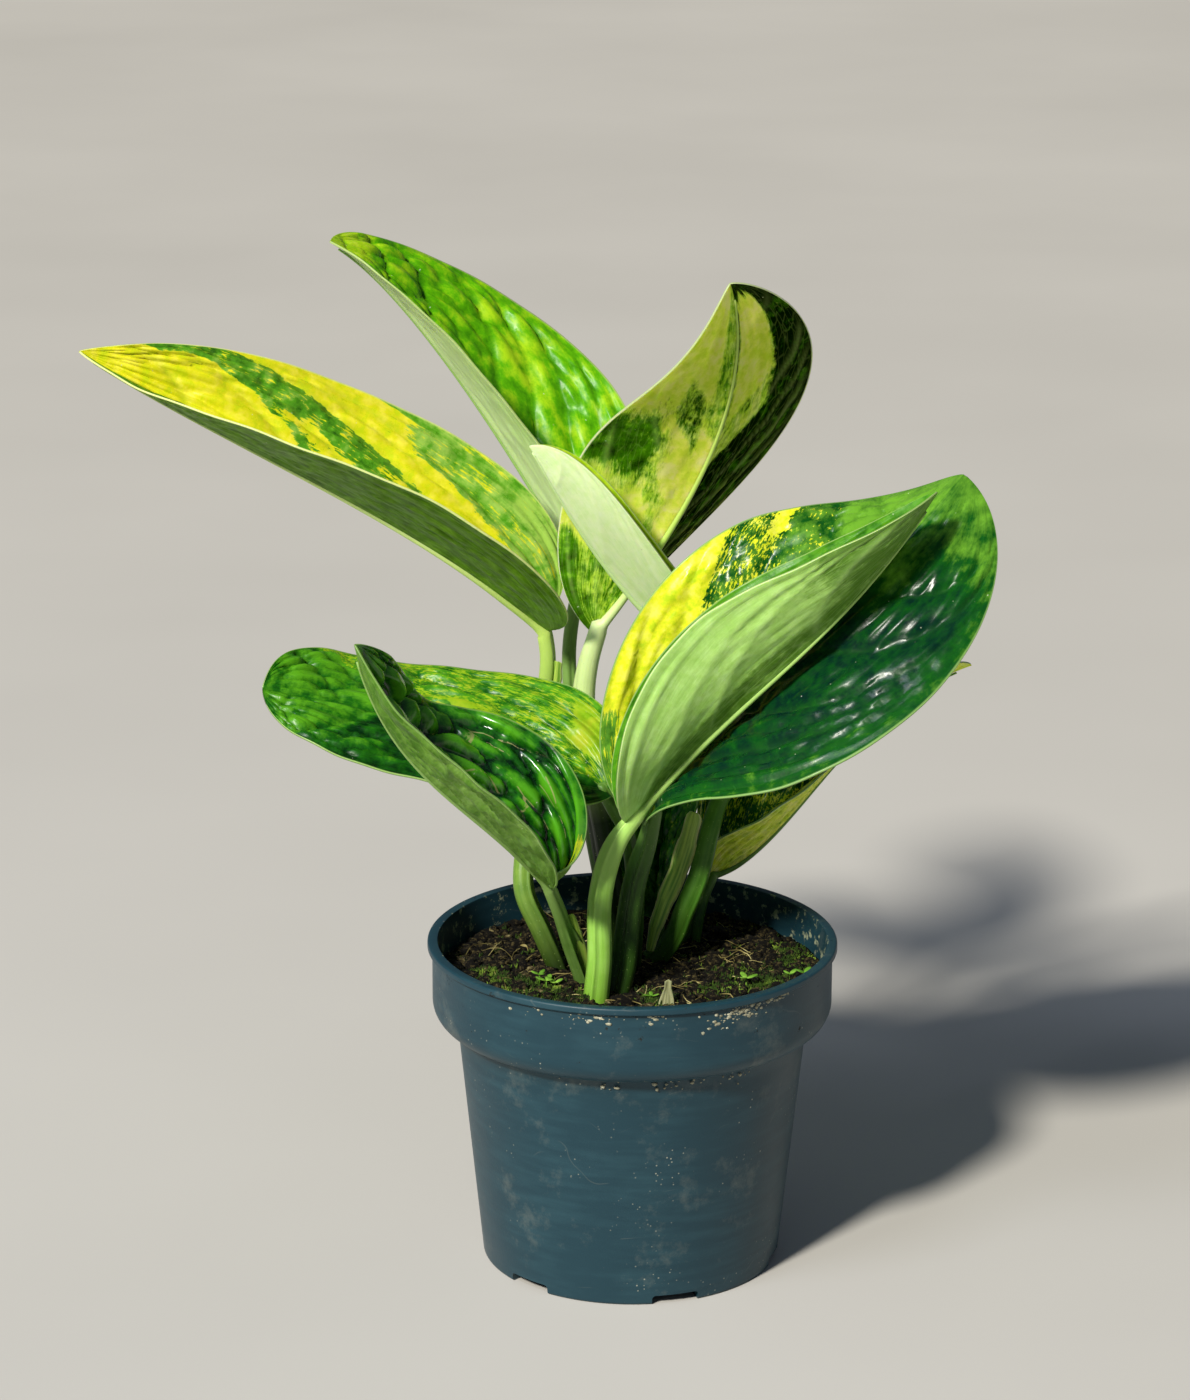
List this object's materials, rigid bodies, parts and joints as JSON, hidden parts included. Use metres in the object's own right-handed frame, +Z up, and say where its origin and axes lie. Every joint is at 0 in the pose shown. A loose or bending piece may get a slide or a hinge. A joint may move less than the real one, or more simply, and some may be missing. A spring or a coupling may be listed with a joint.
{
  "type": "potted marble planet monstera",
  "caption": "Potted aroid house plant with marbled yellow and green folded leaves on winged stalks, growing from dark potting mix in a round slate blue nursery pot.",
  "frame": {"origin": "centre of the pot's flat base, at the surface it stands on", "axes": "+Z up, -Y towards the front of the plant as pictured, +X to its right"},
  "size_m": [0.2603, 0.1706, 0.2941],
  "materials": {
    "pot_plastic": "satin moulded, dusty",
    "potting_mix": "rough damp peat",
    "leaf_yellow_green": "satin leathery leaf, yellow with green streaks",
    "leaf_bright_green": "satin leathery leaf",
    "leaf_pale_green": "matte pale leaf underside, marbled",
    "leaf_dark_green": "glossy blistered leaf, marbled",
    "dry_scale": "dry papery"
  },
  "bodies": {
    "root": {"nursery_pot": "pot_plastic", "potting_mix": "potting_mix", "leaf_a_left_yellow": "leaf_yellow_green", "leaf_b_top_left": "leaf_bright_green", "leaf_c_top_right": "leaf_pale_green", "leaf_d_large_right": "leaf_dark_green", "leaf_e_pale_right": "leaf_pale_green", "leaf_f_blunt_left": "leaf_dark_green", "leaf_g_pale_middle": "leaf_pale_green", "leaf_h_front_left": "leaf_dark_green", "leaf_i_low_right": "leaf_pale_green", "leaf_j_small_shaded": "leaf_dark_green", "dry_scale": "dry_scale"}
  },
  "joints": []
}
